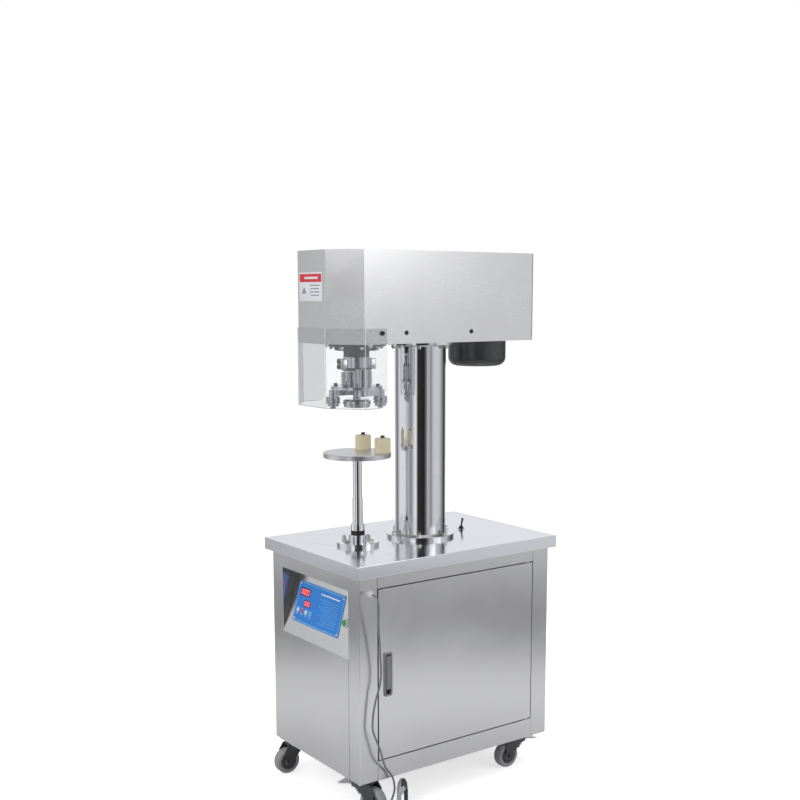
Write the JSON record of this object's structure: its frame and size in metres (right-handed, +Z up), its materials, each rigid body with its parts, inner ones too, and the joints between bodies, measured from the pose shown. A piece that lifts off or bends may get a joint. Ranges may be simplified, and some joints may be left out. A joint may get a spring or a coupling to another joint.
{
  "type": "cup sealing machine",
  "caption": "Free-standing semi-automatic cup seamer: wheeled cabinet with sloping console, column, drive head with clear guard, seaming turret, lifting tray and foot switch.",
  "frame": {"origin": "on the floor under the middle of the worktop", "axes": "+Z up along the column, -Y towards the operator and the console, +X towards the door and the foot switch"},
  "size_m": [0.5624, 0.7355, 1.557],
  "materials": {
    "cabinet_sheet": "fine satin stainless sheet",
    "worktop_sheet": "semi-mirror brushed stainless",
    "head_sheet": "fine satin stainless sheet",
    "polished_steel": "polished tube and machined steel",
    "machined_steel": "turned and ground steel",
    "bolt_steel": "bright plated fasteners",
    "caster_steel": "bright zinc plate",
    "dark_paint": "dark grey paint",
    "motor_paint": "grey paint over cast aluminium",
    "clear_acrylic": "clear acrylic sheet",
    "stop_nylon": "cream nylon",
    "black_rubber": "black rubber",
    "wheel_grey": "grey moulded tread",
    "box_plastic": "pale grey moulded box",
    "membrane_film": "printed polyester film",
    "button_rim": "pale moulded rim",
    "button_green": "green cap",
    "latch_grey": "dark grey moulding",
    "gland_white": "white nylon",
    "gland_dark": "black nylon",
    "toggle_black": "black moulding",
    "pedal_grey": "light grey paint",
    "pedal_black": "ribbed black treadle",
    "cord_sheath": "grey sheath"
  },
  "bodies": {
    "frame": {"corner_posts": "cabinet_sheet", "frame_rails": "cabinet_sheet", "worktop": "worktop_sheet", "left_panel": "cabinet_sheet", "rear_panel": "cabinet_sheet", "floor_panel": "cabinet_sheet", "front_panel": "cabinet_sheet", "control_box": "box_plastic", "membrane_panel": "membrane_film", "panel_screws": "bolt_steel", "button_bezel": "button_rim", "hinge_pins": "polished_steel", "cord_gland": "gland_white", "mains_gland": "gland_dark", "column": "polished_steel", "flange_bolts": "bolt_steel", "head_base_plate": "head_sheet", "head_cover": "head_sheet", "guard": "clear_acrylic", "motor": "motor_paint", "fan_cover": "dark_paint", "drive_belt": "black_rubber", "spindle_housing": "dark_paint", "spindle_bearings": "machined_steel", "lift_flange": "polished_steel", "seal_ring": "black_rubber", "lift_cylinder": "dark_paint", "toggle_base": "toggle_black", "caster_plates": "caster_steel", "pedal_base": "pedal_grey", "pedal_cord": "cord_sheath"},
    "start_button": {"start_button": "button_green"},
    "door": {"door": "cabinet_sheet", "latch_housing": "latch_grey"},
    "latch_lever": {"latch_lever": "latch_grey"},
    "motor_rotor": {"motor_rotor": "machined_steel"},
    "spindle": {"spindle": "machined_steel", "turret": "machined_steel"},
    "chuck": {"chuck": "machined_steel"},
    "first_arm": {"first_arm": "machined_steel"},
    "second_arm": {"second_arm": "machined_steel"},
    "first_roller": {"first_roller": "machined_steel"},
    "second_roller": {"second_roller": "machined_steel"},
    "lift": {"lift_sleeve": "polished_steel", "sleeve_collar": "polished_steel"},
    "tray": {"tray_rod": "polished_steel", "tray": "polished_steel", "locating_stops": "stop_nylon"},
    "toggle_lever": {"toggle_lever": "toggle_black"},
    "pedal_treadle": {"pedal_treadle": "pedal_black"},
    "fork_front_left": {"fork_front_left": "dark_paint"},
    "wheel_front_left": {"wheel_front_left": "wheel_grey"},
    "fork_front_right": {"fork_front_right": "dark_paint"},
    "wheel_front_right": {"wheel_front_right": "wheel_grey"},
    "fork_rear_left": {"fork_rear_left": "dark_paint"},
    "wheel_rear_left": {"wheel_rear_left": "wheel_grey"},
    "fork_rear_right": {"fork_rear_right": "dark_paint"},
    "wheel_rear_right": {"wheel_rear_right": "wheel_grey"},
    "brake_front_right": {"brake_front_right": "caster_steel"},
    "brake_rear_right": {"brake_rear_right": "caster_steel"}
  },
  "joints": [
    {"name": "start_press", "type": "slide", "parent": "frame", "child": "start_button", "axis": [0, 0.9659, -0.2588], "range_m": [0, 0.003], "stiffness_N_per_m": 300, "springref_m": -0.002},
    {"name": "door_swing", "type": "hinge", "parent": "frame", "child": "door", "pos_m": [0.2245, 0.2655, 0.4025], "axis": [0, 0, 1], "range_deg": [0, 110]},
    {"name": "latch_pull", "type": "hinge", "parent": "door", "child": "latch_lever", "pos_m": [0.2285, -0.249, 0.449], "axis": [0, -1, 0], "range_deg": [0, 35], "stiffness_Nm_per_rad": 0.3, "springref_deg": -11.46},
    {"name": "spindle_spin", "type": "hinge", "parent": "frame", "child": "spindle", "pos_m": [0, -0.191, 1.3], "axis": [0, 0, 1], "continuous": true},
    {"name": "motor_spin", "type": "hinge", "parent": "frame", "child": "motor_rotor", "pos_m": [0, 0.25, 1.4], "axis": [0, 0, 1], "continuous": true},
    {"name": "chuck_spin", "type": "hinge", "parent": "spindle", "child": "chuck", "pos_m": [0, -0.191, 1.3], "axis": [0, 0, 1], "continuous": true},
    {"name": "first_arm_swing", "type": "hinge", "parent": "spindle", "child": "first_arm", "pos_m": [-0.03939, -0.18405, 1.172], "axis": [0, 0, 1], "range_deg": [0, 10]},
    {"name": "first_roller_spin", "type": "hinge", "parent": "first_arm", "child": "first_roller", "pos_m": [-0.02874, -0.25263, 1.137], "axis": [0, 0, 1], "continuous": true},
    {"name": "second_arm_swing", "type": "hinge", "parent": "spindle", "child": "second_arm", "pos_m": [0.03939, -0.19795, 1.172], "axis": [0, 0, 1], "range_deg": [0, 10]},
    {"name": "second_roller_spin", "type": "hinge", "parent": "second_arm", "child": "second_roller", "pos_m": [0.02874, -0.12937, 1.137], "axis": [0, 0, 1], "continuous": true},
    {"name": "lift_rise", "type": "slide", "parent": "frame", "child": "lift", "axis": [0, 0, 1], "range_m": [0, 0.045]},
    {"name": "tray_height", "type": "slide", "parent": "lift", "child": "tray", "axis": [0, 0, 1], "range_m": [-0.06, 0.03]},
    {"name": "toggle_flip", "type": "hinge", "parent": "frame", "child": "toggle_lever", "pos_m": [0, 0.192, 0.726], "axis": [1, 0, 0], "range_deg": [0, 24]},
    {"name": "swivel_front_left", "type": "hinge", "parent": "frame", "child": "fork_front_left", "pos_m": [-0.18, -0.3, 0.09], "axis": [0, 0, 1], "continuous": true},
    {"name": "roll_front_left", "type": "hinge", "parent": "fork_front_left", "child": "wheel_front_left", "pos_m": [-0.18, -0.337, 0.038], "axis": [1, 0, 0], "continuous": true},
    {"name": "swivel_front_right", "type": "hinge", "parent": "frame", "child": "fork_front_right", "pos_m": [0.18, -0.3, 0.09], "axis": [0, 0, 1], "continuous": true},
    {"name": "roll_front_right", "type": "hinge", "parent": "fork_front_right", "child": "wheel_front_right", "pos_m": [0.21477, -0.28735, 0.038], "axis": [-0.342, 0.9397, 0], "continuous": true},
    {"name": "swivel_rear_left", "type": "hinge", "parent": "frame", "child": "fork_rear_left", "pos_m": [-0.18, 0.266, 0.09], "axis": [0, 0, 1], "continuous": true},
    {"name": "roll_rear_left", "type": "hinge", "parent": "fork_rear_left", "child": "wheel_rear_left", "pos_m": [-0.18, 0.303, 0.038], "axis": [-1, 0, 0], "continuous": true},
    {"name": "swivel_rear_right", "type": "hinge", "parent": "frame", "child": "fork_rear_right", "pos_m": [0.18, 0.266, 0.09], "axis": [0, 0, 1], "continuous": true},
    {"name": "roll_rear_right", "type": "hinge", "parent": "fork_rear_right", "child": "wheel_rear_right", "pos_m": [0.18, 0.229, 0.038], "axis": [1, 0, 0], "continuous": true},
    {"name": "brake_press_front_right", "type": "hinge", "parent": "fork_front_right", "child": "brake_front_right", "pos_m": [0.16121, -0.30684, 0.078], "axis": [0.342, -0.9397, 0], "range_deg": [0, 20]},
    {"name": "brake_press_rear_right", "type": "hinge", "parent": "fork_rear_right", "child": "brake_rear_right", "pos_m": [0.18, 0.286, 0.078], "axis": [-1, 0, 0], "range_deg": [0, 20]},
    {"name": "treadle_press", "type": "hinge", "parent": "frame", "child": "pedal_treadle", "pos_m": [0.25538, -0.21341, 0.08], "axis": [-0.809, 0.5878, 0], "range_deg": [0, 5], "stiffness_Nm_per_rad": 2, "springref_deg": -5.73}
  ],
  "couplings": [
    {"joint": "motor_spin", "follows": "spindle_spin", "ratio": 1.8}
  ]
}
